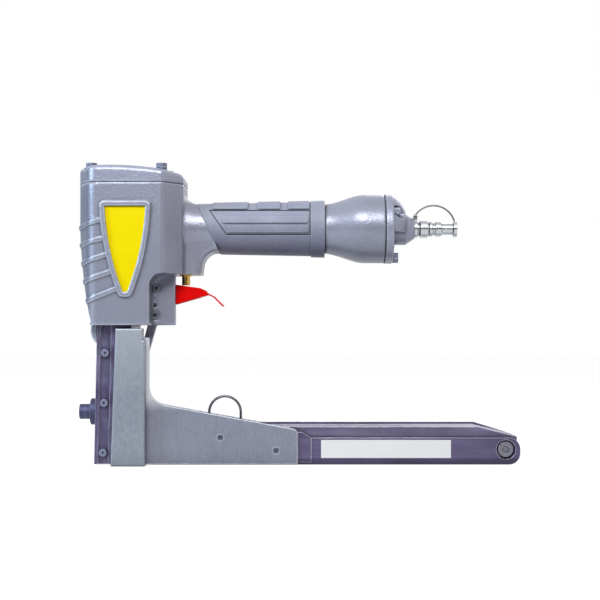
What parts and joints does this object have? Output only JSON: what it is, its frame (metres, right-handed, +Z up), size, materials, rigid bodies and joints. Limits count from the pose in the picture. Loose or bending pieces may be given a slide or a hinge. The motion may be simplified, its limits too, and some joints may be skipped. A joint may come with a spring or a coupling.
{
  "type": "pneumatic carton stapler",
  "caption": "Hand-held pneumatic carton stapler with an upright head, rubber-gripped handle, red trigger, clincher nose and a long low staple magazine.",
  "frame": {"origin": "middle of the overall length and width, on the plane of the sole", "axes": "+X from the nose to the rear of the magazine, +Y to the tool's right side, +Z up"},
  "size_m": [0.37, 0.0752, 0.25],
  "materials": {
    "housing_paint": "satin hammered paint",
    "cover_paint": "fine textured paint",
    "blued_steel": "blued",
    "dark_screws": "black oxide",
    "bright_steel": "bright",
    "spring_steel": "oiled wire",
    "plated_plug": "zinc plated",
    "light_alloy": "machined",
    "brass": "turned",
    "trigger_red": "gloss paint",
    "grip_rubber": "matt moulded",
    "seal_rubber": "matt",
    "badge_yellow": "gloss, blank",
    "label_white": "blank film"
  },
  "bodies": {
    "frame": {"air_plug": "plated_plug", "arm_screws": "bright_steel", "badge_inlays": "badge_yellow", "blank_label": "label_white", "bumper": "seal_rubber", "cap_screws": "dark_screws", "clincher_pivots": "bright_steel", "cylinder_sleeve": "light_alloy", "end_cap": "housing_paint", "end_cap_gasket": "seal_rubber", "end_cap_screws": "dark_screws", "feed_spring": "spring_steel", "front_bolt": "bright_steel", "front_plate": "blued_steel", "front_plate_screws": "bright_steel", "front_washer": "bright_steel", "guide_rod": "bright_steel", "head_cap": "housing_paint", "head_gasket": "seal_rubber", "head_valve_spring": "spring_steel", "left_arm": "cover_paint", "left_cheek": "cover_paint", "magazine_channel": "blued_steel", "main_housing": "housing_paint", "nose_frame": "blued_steel", "nose_screws": "bright_steel", "plug_collar": "plated_plug", "rear_block": "blued_steel", "rear_bolt": "bright_steel", "rear_stay": "blued_steel", "right_arm": "cover_paint", "right_cheek": "cover_paint", "rubber_grip": "grip_rubber", "sleeve_seals": "seal_rubber", "staple_rail": "blued_steel", "stay_bolt": "bright_steel", "stay_pin": "dark_screws", "trigger_pin": "dark_screws", "trigger_valve_body": "brass", "valve_spring": "spring_steel"},
    "driver": {"piston": "light_alloy", "piston_seal": "seal_rubber", "driver_blade": "bright_steel", "driver_pin": "bright_steel", "yoke_spring": "spring_steel"},
    "yoke": {"clincher_yoke": "blued_steel"},
    "left_claw": {"left_clincher": "blued_steel", "left_follower_pin": "bright_steel"},
    "right_claw": {"right_clincher": "blued_steel", "right_follower_pin": "bright_steel"},
    "trigger_lever": {"trigger": "trigger_red"},
    "stem": {"valve_stem": "brass"},
    "poppet": {"head_valve": "light_alloy", "head_valve_seal": "seal_rubber"},
    "feeder": {"pusher": "blued_steel", "pusher_bail": "spring_steel"},
    "cover": {"dust_cap": "plated_plug", "dust_cap_wire": "spring_steel"}
  },
  "joints": [
    {"name": "piston_stroke", "type": "slide", "parent": "frame", "child": "driver", "axis": [0, 0, -1], "range_m": [0, 0.033], "deforming": ["yoke_spring"]},
    {"name": "yoke_slide", "type": "slide", "parent": "frame", "child": "yoke", "axis": [0, 0, -1], "range_m": [0, 0.01153]},
    {"name": "left_claw_swing", "type": "hinge", "parent": "frame", "child": "left_claw", "pos_m": [-0.1517, -0.0125, 0.0105], "axis": [1, 0, 0], "range_deg": [0, 52]},
    {"name": "right_claw_swing", "type": "hinge", "parent": "frame", "child": "right_claw", "pos_m": [-0.1517, 0.0125, 0.0105], "axis": [-1, 0, 0], "range_deg": [0, 52]},
    {"name": "trigger_pull", "type": "hinge", "parent": "frame", "child": "trigger_lever", "pos_m": [-0.1186, 0, 0.1471], "axis": [0, -1, 0], "range_deg": [0, 9], "stiffness_Nm_per_rad": 0.4, "springref_deg": -17.19},
    {"name": "stem_lift", "type": "slide", "parent": "frame", "child": "stem", "axis": [0, 0, 1], "range_m": [0, 0.0037], "deforming": ["valve_spring"]},
    {"name": "head_valve_lift", "type": "slide", "parent": "frame", "child": "poppet", "axis": [0, 0, 1], "range_m": [0, 0.0035], "stiffness_N_per_m": 800, "springref_m": -0.005, "deforming": ["head_valve_spring"]},
    {"name": "pusher_slide", "type": "slide", "parent": "frame", "child": "feeder", "axis": [1, 0, 0], "range_m": [0, 0.14], "stiffness_N_per_m": 40, "springref_m": -0.05, "deforming": ["feed_spring"]},
    {"name": "dust_cap_swing", "type": "hinge", "parent": "frame", "child": "cover", "pos_m": [0.0997, 0, 0.208], "axis": [0, -1, 0], "range_deg": [0, 75]}
  ],
  "couplings": [
    {"joint": "yoke_slide", "follows": "piston_stroke", "ratio": 0.34936},
    {"joint": "left_claw_swing", "follows": "piston_stroke", "rad_per_m": 27.502},
    {"joint": "right_claw_swing", "follows": "piston_stroke", "rad_per_m": 27.502},
    {"joint": "stem_lift", "follows": "trigger_pull", "m_per_rad": 0.0235}
  ]
}
